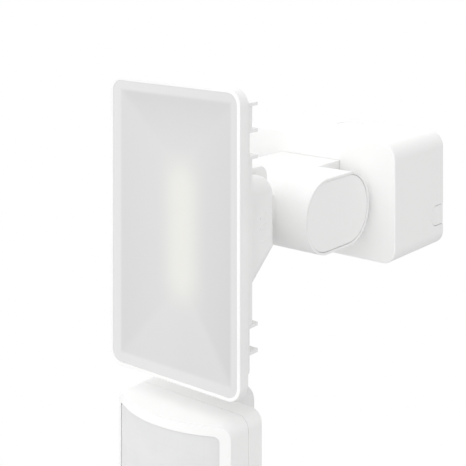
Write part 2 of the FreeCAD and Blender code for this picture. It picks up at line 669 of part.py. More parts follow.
def make_light_source():
    lens = front_plate("lens_sheet", "head_width / 2 - rim - lens_gap", "head_bottom + rim + lens_gap",
                       "head_top - rim - lens_gap",
                       ("head_reach - lens_gauge - lens_sink", "head_reach - lens_sink"),
                       "head_corner - rim - lens_gap")
    rounded(lens, "0.2", lying_at("Y", amount("lens_sink") - amount("head_reach")))
    node("diffuser", lens)

    seal = front_plate("lens_seal_sheet", "head_width / 2 - rim - 0.3", "head_bottom + rim + 0.3",
                       "head_top - rim - 0.3",
                       ("head_reach - lens_gauge - lens_sink - 0.75",
                        "head_reach - lens_gauge - lens_sink - 0.05"),
                       "head_corner - rim - 0.3")
    front_opening(seal, "lens_seal_opening", "head_width / 2 - rim - 3", "head_bottom + rim + 3",
                  "head_top - rim - 3", "head_reach - lens_gauge - 2", "3", "head_corner - rim - 3")
    node("diffuser_seal", seal)

    board_top = "tray_floor + board_gauge"
    board = block("led_board_sheet", ("-board_half", "board_half"), ("tray_floor", board_top),
                  ("2 - board_height / 2", "2 + board_height / 2"))
    holes = [
        rod(f"led_board_hole_{number}", "reach", "1.4", "0", ("tray_floor - 1", f"{board_top} + 1"), level)
        for number, level in enumerate(board_screw_levels())
    ]
    node("led_board", cut("led_board_cut", board, *holes))
    screws = []
    for number, level in enumerate(board_screw_levels()):
        shank = rod(f"board_screw_shank_{number}", "reach", "1.1", "0",
                    ("sink_reach + 0.3", f"{board_top} + 0.2"), level)
        head = rod(f"board_screw_head_{number}", "reach", "2.2", "0",
                   (board_top, f"{board_top} + 1.2"), level)
        screws.append(fuse(f"board_screw_{number}", shank, head))
    node("led_board_screws", fuse("board_screw_set", *screws))

    chips = []
    for column in (-1, 1):
        for number in range(10):
            side = f"{5.5 * column}"
            level = f"2 + ({number} - 4.5) * chip_pitch"
            chips.append(block(f"chip_{column + 1}_{number}",
                               (f"{side} - chip / 2", f"{side} + chip / 2"),
                               (board_top, f"{board_top} + 0.9"),
                               (f"{level} - chip / 2", f"{level} + chip / 2")))
    node("led_chips", fuse("led_chip_set", *chips))


def make_reflector():
    """A shallow four-sided tray that flares from the LED board to the frame's opening."""
    shell = new_body("reflector_shell")
    sections = []
    for name, reach, side, low, high in (
            ("inner", "tray_floor + board_gauge + 0.2", "board_half + 2", "-board_height / 2",
             "4 + board_height / 2"),
            ("outer", "head_reach - lens_gauge - 2.2", "head_width / 2 - rim - 6", "head_bottom + rim + 6",
             "head_top - rim - 6")):
        sketch = sketch_in(shell, f"reflector_{name}", "front", reach)
        rectangle(sketch, f"-({side})", side, low, high)
        sections.append(sketch)
    loft = shell.newObject("PartDesign::AdditiveLoft", "reflector_loft")
    loft.Profile = sections[0]
    loft.Sections = sections[1:]
    loft.Ruled = True
    worked(loft)
    hollow_sections = []
    for name, reach, side, low, high in (
            ("inner", "tray_floor + board_gauge + 0.2", "board_half + 0.6", "1.4 - board_height / 2",
             "2.6 + board_height / 2"),
            ("outer", "head_reach - lens_gauge - 2.2", "head_width / 2 - rim - 8", "head_bottom + rim + 8",
             "head_top - rim - 8")):
        sketch = sketch_in(shell, f"reflector_hollow_{name}", "front", reach)
        rectangle(sketch, f"-({side})", side, low, high)
        hollow_sections.append(sketch)
    hollow = shell.newObject("PartDesign::SubtractiveLoft", "reflector_hollow")
    hollow.Profile = hollow_sections[0]
    hollow.Sections = hollow_sections[1:]
    hollow.Ruled = True
    worked(hollow)
    node("reflector", shell)


# ---------------------------------------------------------------- driver pod
def make_driver_pod():
    pod = new_body("pod_casting")
    side = sketch_in(pod, "pod_outline", "side", "0")
    outline(side, [
        ("-sink_reach", "pod_toe"), ("-pod_back", "pod_heel"), ("-pod_back", "pod_top"),
        ("-sink_reach", "pod_top"),
    ])
    pad(pod, side, "2 * pod_half", middle=True)

    def upper_back(edge):
        return edge.BoundBox.YMin > -amount("pod_back") - 0.01 and edge.BoundBox.ZMin > 0
    rounded(pod, "pod_round", straight_along("X"), upper_back)
    rounded(pod, "pod_edge", lambda edge: abs(abs(edge.CenterOfMass.x) - amount("pod_half")) < 0.01,
            lambda edge: edge.BoundBox.YMax > -amount("sink_reach") + 0.01)

    slot = sketch_in(pod, "neck_slot", "side", "0")
    rectangle(slot, "-slot_depth", "1 - pod_back", "pod_toe - 1", "pod_top + 1")
    pocket(pod, slot, "2 * slot_half", middle=True)
    chamber = sketch_in(pod, "driver_chamber", "side", "0")
    outline(chamber, [
        ("-sink_reach - 1", "pod_toe + 5"), ("-slot_depth - pod_wall", "pod_toe + 19.5 + 5"),
        ("-slot_depth - pod_wall", "pod_top - pod_roof"), ("-sink_reach - 1", "pod_top - pod_roof"),
    ])
    pocket(pod, chamber, "2 * (pod_half - pod_side_wall)", middle=True)

    bosses = [
        rod(f"pod_boss_{number}", "reach", "3.4", across, ("sink_reach - 8", "sink_reach"), level)
        for number, (across, level) in enumerate(pod_screw_places())
    ]
    threads = [
        rod(f"pod_thread_{number}", "reach", "1.25", across, ("sink_reach - 7.5", "sink_reach + 1"), level)
        for number, (across, level) in enumerate(pod_screw_places())
    ]
    pin_bore = rod("pod_pin_bore", "side", "pivot_pin", ("3 - pod_half", "pod_half - 3"), "pivot_reach",
                   "pivot_level")
    wire_bore = rod("pod_wire_bore", "reach", "4.5", "0",
                    ("slot_depth - 1", "slot_depth + pod_wall + 1"), "0")
    ribs = []
    for number, (reach, level, length) in enumerate((
            ("rib_reach", "14.2", "9.6"),
            ("rib_reach + 0.2", "4.9", "9"),
            ("rib_reach + 1.6", "-6.7", "7.5"))):
        for side_name, start in (("right", "pod_half - 0.5"), ("left", "-pod_half - 0.5")):
            rib = doc.addObject("Part::Box", f"index_rib_{side_name}_{number}")
            rib.Placement.Rotation = FreeCAD.Rotation(FreeCAD.Vector(1, 0, 0), 196.5)
            link(rib, "Length", "1")
            link(rib, "Width", length)
            link(rib, "Height", "1.3")
            place(rib, start, reach, level)
            ribs.append(rib)
    shaped = fuse("pod_with_bosses", pod, *bosses, *ribs)
    node("driver_pod", cut("pod_cut", shaped, pin_bore, wire_bore, *threads))

    screws = []
    for number, (across, level) in enumerate(pod_screw_places()):
        shank = rod(f"pod_screw_shank_{number}", "reach", "1.2", across,
                    ("sink_reach - 7", "tray_floor + 0.2"), level)
        head = rod(f"pod_screw_head_{number}", "reach", "2.4", across,
                   ("tray_floor", "tray_floor + 1.3"), level)
        screws.append(fuse(f"pod_screw_{number}", shank, head))
    node("pod_screws", fuse("pod_screw_set", *screws))

    node("tilt_pin", rod("tilt_pin_rod", "side", "pivot_pin", ("3 - pod_half", "pod_half - 3"), "pivot_reach",
                         "pivot_level"))
    washers = []
    for side_name, low, high in (("right", "neck_half + 0.05", "neck_half + 0.05 + washer_gauge"),
                                 ("left", "-neck_half - 0.05 - washer_gauge", "-neck_half - 0.05")):
        disc = rod(f"washer_disc_{side_name}", "side", "11", (low, high), "pivot_reach", "pivot_level")
        hole = rod(f"washer_hole_{side_name}", "side", "pivot_pin + 0.1", (f"{low} - 1", f"{high} + 1"),
                   "pivot_reach", "pivot_level")
        washers.append(cut(f"washer_{side_name}", disc, hole))
    node("friction_washers", fuse("washer_pair", *washers))

    board = block("driver_board_sheet", ("14 - pod_half", "pod_half - 14"),
                  ("sink_reach - 8", "sink_reach - 6.4"), ("-28", "36"))
    node("driver_board", board)
    coil = block("coil", ("-30", "-8"), ("slot_depth + pod_wall + 2", "sink_reach - 8"), ("4", "26"))
    capacitors = [
        rod(f"capacitor_{number}", "reach", "4.5", f"{6 + 11 * number}",
            ("slot_depth + pod_wall + 2.5", "sink_reach - 8"), "24")
        for number in range(3)
    ]
    choke = rod("choke", "reach", "7", "-22", ("slot_depth + pod_wall + 4", "sink_reach - 8"), "-12")
    node("driver_components", fuse("driver_component_set", coil, *capacitors, choke))


# ---------------------------------------------------------------- swivel of the camera unit
def make_swivel():
    post = rod("knuckle_post", "height", "knuckle_radius", "0", "pan_reach",
               ("knuckle_bottom", "knuckle_top"))
    rounding = doc.addObject("Part::Fillet", "knuckle_round")
    rounding.Base = post
    doc.recompute()
    top_edge = [
        number for number, edge in enumerate(post.Shape.Edges, start=1)
        if edge.BoundBox.ZMin > amount("knuckle_top") - 0.01
    ]
    rounding.Edges = [(number, 12.0, 12.0) for number in top_edge]
    front_cut = block("knuckle_front", ("-40", "40"), ("knuckle_flat", "pan_reach + 40"),
                      ("knuckle_bottom - 1", "knuckle_top + 1"))
    flat_knuckle = cut("knuckle_flat_side", rounding, front_cut)
    neck = block("tongue_neck", ("-tongue_half", "tongue_half"), ("knuckle_flat - 4", "unit_pivot_reach"),
                 ("unit_pivot_level - ear_radius", "unit_pivot_level + ear_radius"))
    tip = rod("tongue_tip", "side", "ear_radius", ("-tongue_half", "tongue_half"), "unit_pivot_reach",
              "unit_pivot_level")
    bore = rod("knuckle_bore", "height", "pan_bolt", "0", "pan_reach", ("-160", "knuckle_top + 1"))
    pin_hole = rod("tongue_bore", "side", "unit_pin + running_gap", ("-tongue_half - 1", "tongue_half + 1"),
                   "unit_pivot_reach", "unit_pivot_level")
    shaped = fuse("knuckle_with_tongue", flat_knuckle, neck, tip)
    node("pan_knuckle", cut("knuckle_cut", shaped, bore, pin_hole))

    shank = rod("pan_bolt_shank", "height", "pan_bolt", "0", "pan_reach", ("-160", "collar_top + 0.4"))
    head = rod("pan_bolt_head", "height", "7", "0", "pan_reach", ("collar_top + 0.4", "collar_top + 5"))
    hexagon = doc.addObject("Part::Prism", "pan_bolt_socket")
    hexagon.Polygon = 6
    link(hexagon, "Circumradius", "3.4")
    link(hexagon, "Height", "4")
    place(hexagon, "0", "pan_reach", "collar_top + 2.5")
    node("pan_bolt", cut("pan_bolt_cut", fuse("pan_bolt_blank", shank, head), hexagon))

    disc = rod("pan_washer_disc", "height", "12.5", "0", "pan_reach", ("knuckle_top", "collar_bottom - 0.05"))
    hole = rod("pan_washer_hole", "height", "pan_bolt + 0.1", "0", "pan_reach",
               ("knuckle_top - 1", "collar_bottom + 1"))
    node("pan_washer", cut("pan_washer_ring", disc, hole))


# ---------------------------------------------------------------- camera and sensor unit
def curved_block(name, half, bottom, top, reach, corner, radius):
    """A rounded block whose front is part of an upright cylinder about the unit's curve centre."""
    plate = front_plate(name + "_block", half, bottom, top, reach, corner)
    drum = rod(name + "_drum", "height", radius, "0", "unit_front - unit_curve",
               ("unit_bottom - 10", "unit_top + 10"))
    return common(name, plate, drum)


def make_unit_shells():
    outer = curved_block("front_shell_solid", "unit_half", "unit_bottom", "unit_top",
                         ("unit_seam", "unit_front + 2"), "unit_corner", "unit_curve")
    hollow = curved_block("front_shell_hollow", "unit_half - unit_wall", "unit_bottom + unit_wall",
                          "unit_top - unit_wall", ("unit_seam - 1", "unit_front + 2"),
                          "unit_corner - unit_wall", "unit_curve - unit_wall")
    window = front_plate("window_cut", "window_half + window_gap", "window_bottom - window_gap",
                         "window_top + window_gap", ("unit_seam + 8", "unit_front + 3"),
                         "window_corner + window_gap")
    lens = rod("lens_cut", "reach", "lens_opening", "0", ("unit_seam + 8", "unit_front + 3"), "lens_level")
    light = rod("light_cut", "reach", "light_radius", "0", ("unit_seam + 8", "unit_front + 3"), "light_level")
    microphone = rod("microphone_cut", "reach", "0.8", "38", ("unit_seam + 8", "unit_front + 3"),
                     "lens_level - 14")
    grille = [
        rod(f"grille_hole_{across}_{along}", "height", "1.1", f"speaker_side + {5 * (across - 1.5)}",
            f"speaker_reach + {5 * (along - 1)}", ("unit_bottom - 1", "unit_bottom + 4"))
        for across in range(4) for along in range(3)
    ]
    screw_pillars = []
    pillar_holes = []
    for number, (side, level) in enumerate(shell_screw_places()):
        screw_pillars.append(rod(f"front_pillar_{number}", "reach", "3.6", side,
                                 ("unit_seam + 0.1", "unit_seam + 14"), level))
        pillar_holes.append(rod(f"front_pillar_hole_{number}", "reach", "1.25", side,
                                ("unit_seam", "unit_seam + 10"), level))
    shell = cut("front_shell_open", outer, hollow)
    with_pillars = fuse("front_shell_full", shell, *screw_pillars)
    node("unit_front_shell", cut("front_shell_cut", with_pillars, window, lens, light, microphone,
                                 *grille, *pillar_holes))

    rear = front_plate("rear_shell_solid", "unit_half", "unit_bottom", "unit_top",
                       ("unit_back", "unit_seam - 0.5"), "unit_corner")
    rounded(rear, "2.2", lying_at("Y", -amount("unit_back")))
    front_opening(rear, "rear_shell_hollow", "unit_half - unit_wall", "unit_bottom + unit_wall",
                  "unit_top - unit_wall", "unit_back + unit_wall", "unit_seam", "unit_corner - unit_wall")
    ears = []
    for side, low, high in (("right", "ear_inner", "ear_outer"), ("left", "-ear_outer", "-ear_inner")):
        ears.append(block(f"ear_root_{side}", (low, high), ("unit_pivot_reach", "unit_back + 1"),
                          ("unit_pivot_level - ear_radius", "unit_pivot_level + ear_radius")))
        ears.append(rod(f"ear_tip_{side}", "side", "ear_radius", (low, high), "unit_pivot_reach",
                        "unit_pivot_level"))
    ear_bore = rod("ear_bore", "side", "unit_pin", ("-ear_outer - 1", "ear_outer + 1"), "unit_pivot_reach",
                   "unit_pivot_level")
    pillars = []
    holes = []
    for number, (side, level) in enumerate(shell_screw_places()):
        pillars.append(rod(f"rear_pillar_{number}", "reach", "3.6", side,
                           ("unit_back + 1", "unit_seam - 0.6"), level))
        holes.append(rod(f"rear_screw_hole_{number}", "reach", "1.6", side, ("unit_back - 1", "unit_seam"),
                         level))
        holes.append(rod(f"rear_screw_recess_{number}", "reach", "3", side,
                         ("unit_back - 1", "unit_back + 2.4"), level))
    button_hole = rod("button_hole", "height", "button_radius + 0.08", "button_side", "button_reach",
                      ("unit_bottom - 2", "unit_bottom + 5"))
    shaped = fuse("rear_shell_full", rear, *ears, *pillars)
    node("unit_rear_shell", cut("rear_shell_cut", shaped, ear_bore, *holes, button_hole))

    screws = []
    for number, (side, level) in enumerate(shell_screw_places()):
        shank = rod(f"shell_screw_shank_{number}", "reach", "1.2", side,
                    ("unit_back + 1.5", "unit_seam + 9"), level)
        head = rod(f"shell_screw_head_{number}", "reach", "2.7", side, ("unit_back + 0.9", "unit_back + 2.4"),
                   level)
        recess = rod(f"shell_screw_recess_{number}", "reach", "1", side,
                     ("unit_back", "unit_back + 1.8"), level)
        screws.append(cut(f"shell_screw_{number}", fuse(f"shell_screw_blank_{number}", shank, head), recess))
    node("shell_screws", fuse("shell_screw_set", *screws))

    seal = front_plate("shell_seal_sheet", "unit_half - 0.7", "unit_bottom + 0.7", "unit_top - 0.7",
                       ("unit_seam - 0.48", "unit_seam - 0.02"), "unit_corner - 0.7")
    front_opening(seal, "shell_seal_opening", "unit_half - unit_wall", "unit_bottom + unit_wall",
                  "unit_top - unit_wall", "unit_seam - 2", "4", "unit_corner - unit_wall")
    node("shell_seal", seal)

    node("unit_tilt_pin", rod("unit_pin_rod", "side", "unit_pin", ("-ear_outer", "ear_outer"),
                              "unit_pivot_reach", "unit_pivot_level"))


def shell_screw_places():
    """Side and height of the screws that close the two shells of the unit."""
    return [(side, level) for side in ("unit_half - screw_inset", "screw_inset - unit_half")
            for level in ("unit_bottom + screw_inset", "unit_top - screw_inset")]


def make_window():
    outer = curved_block("window_solid", "window_half", "window_bottom", "window_top",
                         ("unit_seam + 8", "unit_front + 2"), "window_corner", "unit_curve - 0.7")
    hollow = rod("window_hollow", "height", "unit_curve - 0.7 - window_gauge", "0", "unit_front - unit_curve",
                 ("unit_bottom - 10", "unit_top + 10"))
    face = cut("window_face", outer, hollow)
    lip_solid = curved_block("window_lip_solid", "window_half + 3", "window_bottom - 3", "window_top + 3",
                             ("unit_seam + 8", "unit_front + 2"), "window_corner + 3",
                             "unit_curve - unit_wall - 0.1")
    lip_hollow = rod("window_lip_hollow", "height", "unit_curve - unit_wall - 1.3", "0",
                     "unit_front - unit_curve", ("unit_bottom - 10", "unit_top + 10"))
    lip_opening = front_plate("window_lip_opening", "window_half - 2", "window_bottom + 2", "window_top - 2",
                              ("unit_seam + 7", "unit_front + 3"), "window_corner - 2")
    node("sensor_window", fuse("window_piece", face, cut("window_lip", lip_solid, lip_hollow, lip_opening)))


def make_electronics():
    board_back, board_front = "unit_seam - 4", "unit_seam - 2.4"
    board = front_plate("main_board_sheet", "unit_half - 14", "unit_bottom + 14", "unit_top - 8",
                        (board_back, board_front), "3")
    node("main_board", board)

    can = rod("sensor_can", "reach", "4.6", "0", (board_front, "unit_seam + 3"), "-186")
    flange = rod("sensor_flange", "reach", "5.2", "0", (board_front, "unit_seam - 1.6"), "-186")
    node("motion_sensor", fuse("motion_sensor_can", can, flange))

    glass = rod("cover_glass_disc", "reach", "lens_opening - 0.12", "0",
                ("unit_front - 3.2", "unit_front - 1.6"), "lens_level")
    node("camera_cover_glass", glass)
    rim_outer = rod("camera_rim_outer", "reach", "lens_opening - 0.12", "0",
                    ("unit_front - 9", "unit_front - 3.2"), "lens_level")
    rim_inner = rod("camera_rim_inner", "reach", "lens_opening - 1.6", "0",
                    ("unit_front - 10", "unit_front - 3"), "lens_level")
    holder_back = rod("camera_holder_back", "reach", "lens_opening + 1.5", "0",
                      ("unit_seam + 18", "unit_front - 9"), "lens_level")
    holder_bore = rod("camera_holder_bore", "reach", "8.1", "0",
                      ("unit_seam + 10", "unit_front"), "lens_level")
    ring = cut("camera_rim", rim_outer, rim_inner)
    lamp_bores = []
    for number in range(6):
        angle = math.radians(60 * number + 30)
        lamp_bores.append(rod(f"lamp_bore_{number}", "reach", "1.7", f"{12 * math.cos(angle):.4f}",
                              ("unit_seam + 10", "unit_front - 3"),
                              f"lens_level + {12 * math.sin(angle):.4f}"))
    node("camera_bezel", cut("camera_bezel_cut", fuse("camera_bezel_blank", ring, holder_back), holder_bore,
                             *lamp_bores))

    camera_board = block("camera_board_sheet", ("-19", "19"), ("unit_seam + 14.4", "unit_seam + 16"),
                         ("lens_level - 16", "lens_level + 26"))
    node("camera_board", camera_board)
    barrel = rod("lens_barrel_tube", "reach", "8", "0", ("unit_seam + 16", "unit_front - 6"), "lens_level")
    barrel_bore = rod("lens_barrel_bore", "reach", "5.6", "0",
                      ("unit_seam + 24", "unit_front - 5"), "lens_level")
    funnel = doc.addObject("Part::Cone", "lens_barrel_funnel")
    funnel.Placement = FreeCAD.Placement(FreeCAD.Vector(), TURN_FOR_AXIS["reach"])
    link(funnel, "Radius1", "5.2")
    link(funnel, "Radius2", "7.2")
    link(funnel, "Height", "3")
    place(funnel, "0", "unit_front - 8.5", "lens_level")
    node("lens_barrel", cut("lens_barrel_cut", barrel, barrel_bore, funnel))
    glass_body = rod("lens_disc", "reach", "5.5", "0", ("unit_seam + 24.5", "unit_front - 7"), "lens_level")
    ball = doc.addObject("Part::Sphere", "lens_ball")
    link(ball, "Radius", "9")
    place(ball, "0", "unit_front - 16.4", "lens_level")
    node("camera_lens", common("lens_dome", glass_body, ball))

    lamps = []
    for number in range(6):
        angle = math.radians(60 * number + 30)
        lamps.append(rod(f"lamp_{number}", "reach", "1.5", f"{12 * math.cos(angle):.4f}",
                         ("unit_seam + 16", "unit_front - 8"), f"lens_level + {12 * math.sin(angle):.4f}"))
    node("night_vision_lamps", fuse("lamp_set", *lamps))

    node("status_light", rod("light_pipe", "reach", "light_radius - 0.06", "0",
                             ("unit_seam + 16", "unit_front - 0.2"), "light_level"))

    cone_back = rod("speaker_can", "height", "speaker_radius", "speaker_side", "speaker_reach",
                    ("unit_bottom + unit_wall + 0.1", "unit_bottom + unit_wall + 4"))
    magnet = rod("speaker_magnet", "height", "8", "speaker_side", "speaker_reach",
                 ("unit_bottom + unit_wall + 4", "unit_bottom + unit_wall + 8"))
    node("speaker", fuse("speaker_body", cone_back, magnet))

    cap = rod("button_cap", "height", "button_radius", "button_side", "button_reach",
              ("unit_bottom - button_travel", "unit_bottom + unit_wall"))
    collar = rod("button_collar", "height", "button_radius + 1.2", "button_side", "button_reach",
                 ("unit_bottom + unit_wall + 0.05", "unit_bottom + unit_wall + 1"))
    core = rod("button_core", "height", "button_radius", "button_side", "button_reach",
               ("unit_bottom + unit_wall", "unit_bottom + unit_wall + 3"))
    node("reset_button", fuse("button_body", cap, collar, core))


def main():
    makers = (make_junction_box, make_wall_plate, make_terminals, make_bracket_arm, make_drop_arm,
              make_head_frame, make_heat_sink, make_light_source, make_reflector, make_driver_pod,
              make_swivel, make_unit_shells, make_window, make_electronics)
    for maker in makers:
        maker()
    doc.removeObject("Scratch")
    doc.recompute()
    for item in doc.Objects:
        if "Invalid" in item.State or "Error" in item.State:
            raise RuntimeError(f"{item.Label} failed: {item.State}")
    os.makedirs("parts", exist_ok=True)
    for name, item in NODES.items():
        if item.Shape.isNull() or not item.Shape.isValid() or not item.Shape.Solids:
            raise RuntimeError(f"{name} has no valid solid")
    for name, item in NODES.items():
        item.Shape.exportStep(f"parts/{name}.step")
        print(f"{name}: {len(item.Shape.Solids)} solid, {item.Shape.Volume / 1000:.2f} cm3")


main()
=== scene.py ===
"""Looks for the wall floodlight with its camera unit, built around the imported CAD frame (metres)."""
import json
import math

import bpy
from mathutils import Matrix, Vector


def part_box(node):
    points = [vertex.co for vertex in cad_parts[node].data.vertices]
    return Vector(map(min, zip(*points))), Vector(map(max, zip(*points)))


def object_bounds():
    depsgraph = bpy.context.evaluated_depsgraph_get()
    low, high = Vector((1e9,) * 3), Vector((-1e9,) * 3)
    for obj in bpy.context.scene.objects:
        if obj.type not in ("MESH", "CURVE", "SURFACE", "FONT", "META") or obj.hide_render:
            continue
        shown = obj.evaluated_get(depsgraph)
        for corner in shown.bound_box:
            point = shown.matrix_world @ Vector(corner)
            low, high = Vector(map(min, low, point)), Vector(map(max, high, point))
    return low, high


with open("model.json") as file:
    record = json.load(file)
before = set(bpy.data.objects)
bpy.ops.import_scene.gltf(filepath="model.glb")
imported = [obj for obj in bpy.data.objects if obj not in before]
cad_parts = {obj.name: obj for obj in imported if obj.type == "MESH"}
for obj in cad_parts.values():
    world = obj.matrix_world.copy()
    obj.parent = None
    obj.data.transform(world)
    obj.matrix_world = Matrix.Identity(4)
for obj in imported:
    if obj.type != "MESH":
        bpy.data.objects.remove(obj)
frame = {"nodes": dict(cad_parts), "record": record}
NODES = frame["nodes"]
CAD_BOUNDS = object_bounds()


# ---------------------------------------------------------------- material tools
class Shader:
    """A node material that is built from its Principled surface backwards."""

    def __init__(self, name):
        self.material = bpy.data.materials.new(name)
        self.material.use_nodes = True
        self.nodes = self.material.node_tree.nodes
        self.links = self.material.node_tree.links
        self.surface = self.nodes["Principled BSDF"]
        self.output = self.nodes["Material Output"]
        self.place = self.add("ShaderNodeTexCoord").outputs["Object"]

    def add(self, kind, **settings):
        node = self.nodes.new(kind)
        for name, value in settings.items():
            setattr(node, name, value)
        return node

    def feed(self, socket, value):
        """Put a number, a colour or another node's output into a socket."""
        if isinstance(value, bpy.types.NodeSocket):
            self.links.new(value, socket)
        elif isinstance(value, (tuple, list)) and len(socket.default_value) == 4:
            socket.default_value = (*value[:3], 1.0)
        else:
            socket.default_value = value

    def set(self, **values):
        """Set inputs of the surface. Underscores stand for spaces."""
        for name, value in values.items():
            self.feed(self.surface.inputs[name.replace("_", " ")], value)

    def math(self, operation, first, second=0.0):
        node = self.add("ShaderNodeMath", operation=operation)
        self.feed(node.inputs[0], first)
        self.feed(node.inputs[1], second)
        return node.outputs[0]

    def spread(self, value, low, high, to_low=0.0, to_high=1.0, smooth=False):
        """Map a range of values to another range, clamped."""
        kind = "SMOOTHSTEP" if smooth else "LINEAR"
        node = self.add("ShaderNodeMapRange", interpolation_type=kind, clamp=True)
        for name, number in (("Value", value), ("From Min", low), ("From Max", high),
                             ("To Min", to_low), ("To Max", to_high)):
            self.feed(node.inputs[name], number)
        return node.outputs["Result"]

    def mix(self, share, first, second):
        node = self.add("ShaderNodeMix", data_type="RGBA")
        self.feed(node.inputs["Factor"], share)
        self.feed(node.inputs[6], first)
        self.feed(node.inputs[7], second)
        return node.outputs[2]

    def noise(self, scale, detail=2.0, roughness=0.5, stretch=(1, 1, 1)):
        mapping = self.add("ShaderNodeMapping")
        mapping.inputs["Scale"].default_value = stretch
        self.links.new(self.place, mapping.inputs["Vector"])
        node = self.add("ShaderNodeTexNoise")
        self.links.new(mapping.outputs["Vector"], node.inputs["Vector"])
        node.inputs["Scale"].default_value = scale
        node.inputs["Detail"].default_value = detail
        node.inputs["Roughness"].default_value = roughness
        return node.outputs["Fac"]

    def cells(self, scale, feature="F1"):
        node = self.add("ShaderNodeTexVoronoi", feature=feature)
        self.links.new(self.place, node.inputs["Vector"])
        node.inputs["Scale"].default_value = scale
        return node.outputs["Distance"]

    def axis(self, letter):
        split = self.add("ShaderNodeSeparateXYZ")
        self.links.new(self.place, split.inputs[0])
        return split.outputs[letter]

    def bump(self, height, distance, over=None):
        """A bump of this height in metres. Returns a normal, laid over another normal if one is given."""
        node = self.add("ShaderNodeBump")
        node.inputs["Strength"].default_value = 1.0
        node.inputs["Distance"].default_value = distance
        self.links.new(height, node.inputs["Height"])
        if over is not None:
            self.links.new(over, node.inputs["Normal"])
        return node.outputs["Normal"]

    def edges(self, radius):
        """1 on sharp edges and 0 on flat faces, from how far a rounded normal turns from the real one."""
        bevel = self.add("ShaderNodeBevel", samples=4)
        bevel.inputs["Radius"].default_value = radius
        geometry = self.add("ShaderNodeNewGeometry")
        product = self.add("ShaderNodeVectorMath", operation="DOT_PRODUCT")
        self.links.new(bevel.outputs["Normal"], product.inputs[0])
        self.links.new(geometry.outputs["Normal"], product.inputs[1])
        return self.spread(product.outputs["Value"], 0.995, 0.85)


def grey(level, warmth=0.0):
    """A grey whose brightness in the picture is this share of white, with some blue taken out."""
    screen_gamma = 2.2
    linear = level ** screen_gamma
    return (linear, linear * (1 - 0.15 * warmth), linear * (1 - 1.6 * warmth))


def moulded_plastic(name, colour, roughness=0.46, grain=1.0):
    """Injection-moulded plastic: spark-eroded grain, slight flow marks and faintly polished edges."""
    s = Shader(name)
    fine = s.noise(2600, detail=3, roughness=0.6)
    pits = s.cells(1500)
    flow = s.noise(26, detail=4, stretch=(1.0, 1.6, 0.7))
    worn = s.edges(0.0008)
    shade = s.spread(flow, 0.3, 0.7, 0.965, 1.0)
    darker = tuple(c * 0.94 for c in colour)
    s.set(Base_Color=s.mix(shade, darker, colour), IOR=1.47, Specular_IOR_Level=0.42)
    rough = s.math("ADD", s.spread(fine, 0.3, 0.7, roughness - 0.05, roughness + 0.06),
                   s.math("MULTIPLY", worn, -0.10))
    s.set(Roughness=rough)
    grain_normal = s.bump(fine, 0.00003 * grain)
    s.set(Normal=s.bump(pits, 0.00002 * grain, over=grain_normal))
    return s.material


def powder_coat(name, colour):
    """White powder coat on cast aluminium: a soft orange-peel surface, thinner and glossier on edges."""
    s = Shader(name)
    peel = s.noise(620, detail=2, roughness=0.45)
    dust = s.noise(3200, detail=2, roughness=0.6)
    cloud = s.noise(18, detail=3)
    worn = s.edges(0.0009)
    base = s.mix(s.spread(cloud, 0.35, 0.7), tuple(c * 0.955 for c in colour), colour)
    s.set(Base_Color=s.mix(s.math("MULTIPLY", worn, 0.12), base, (0.80, 0.80, 0.80)))
    s.set(Roughness=s.math("ADD", s.spread(dust, 0.3, 0.7, 0.36, 0.46), s.math("MULTIPLY", worn, -0.08)))
    s.set(Normal=s.bump(dust, 0.00002, over=s.bump(peel, 0.00008)), IOR=1.5, Specular_IOR_Level=0.4)
    return s.material


def brushed_metal(name, colour, roughness=0.32, stretch=(40, 1, 1)):
    """Plated or sheet metal with fine drawn lines and a mottled coat."""
    s = Shader(name)
    lines = s.noise(260, detail=4, stretch=stretch)
    mottle = s.cells(160, feature="SMOOTH_F1")
    darker = tuple(c * 0.82 for c in colour)
    s.set(Metallic=1.0, Base_Color=s.mix(s.spread(mottle, 0.1, 0.7), darker, colour))
    s.set(Roughness=s.spread(lines, 0.3, 0.7, roughness - 0.1, roughness + 0.14))
    s.set(Normal=s.bump(lines, 0.00002))
    return s.material


def rubber(name, colour, roughness=0.75):
    s = Shader(name)
    pores = s.cells(900)
    cloud = s.noise(60, detail=4)
    s.set(Base_Color=s.mix(s.spread(cloud, 0.3, 0.7), tuple(c * 0.8 for c in colour), colour))
    s.set(Roughness=s.spread(pores, 0.0, 0.6, roughness - 0.08, roughness + 0.1))
    s.set(Normal=s.bump(pores, 0.00006))
    return s.material


def circuit_board(name, colour, ink):
    """Solder mask over faint copper tracks, with a fine woven glass cloth under it."""
    s = Shader(name)
    tracks = s.add("ShaderNodeTexBrick", offset=0.4, squash=0.7)
    s.links.new(s.place, tracks.inputs["Vector"])
    tracks.inputs["Scale"].default_value = 130
    tracks.inputs["Mortar Size"].default_value = 0.05
    weave = s.noise(1400, detail=1, stretch=(1, 1, 6))
    s.set(Base_Color=s.mix(tracks.outputs["Fac"], colour, ink))
    s.set(Roughness=s.spread(weave, 0.3, 0.7, 0.25, 0.4), Coat_Weight=0.3)
    s.set(Normal=s.bump(tracks.outputs["Fac"], 0.00003, over=s.bump(weave, 0.00001)))
    return s.material


def lens_glass(name, colour, roughness=0.03, transmission=0.6):
    """Coated glass with a faint film of dust."""
    s = Shader(name)
    dust = s.noise(900, detail=5, roughness=0.7)
    s.set(Base_Color=colour, Transmission_Weight=transmission, IOR=1.5, Coat_Weight=0.4)
    s.set(Roughness=s.spread(dust, 0.5, 0.8, roughness, roughness + 0.12))
    s.set(Normal=s.bump(dust, 0.000004))
    return s.material


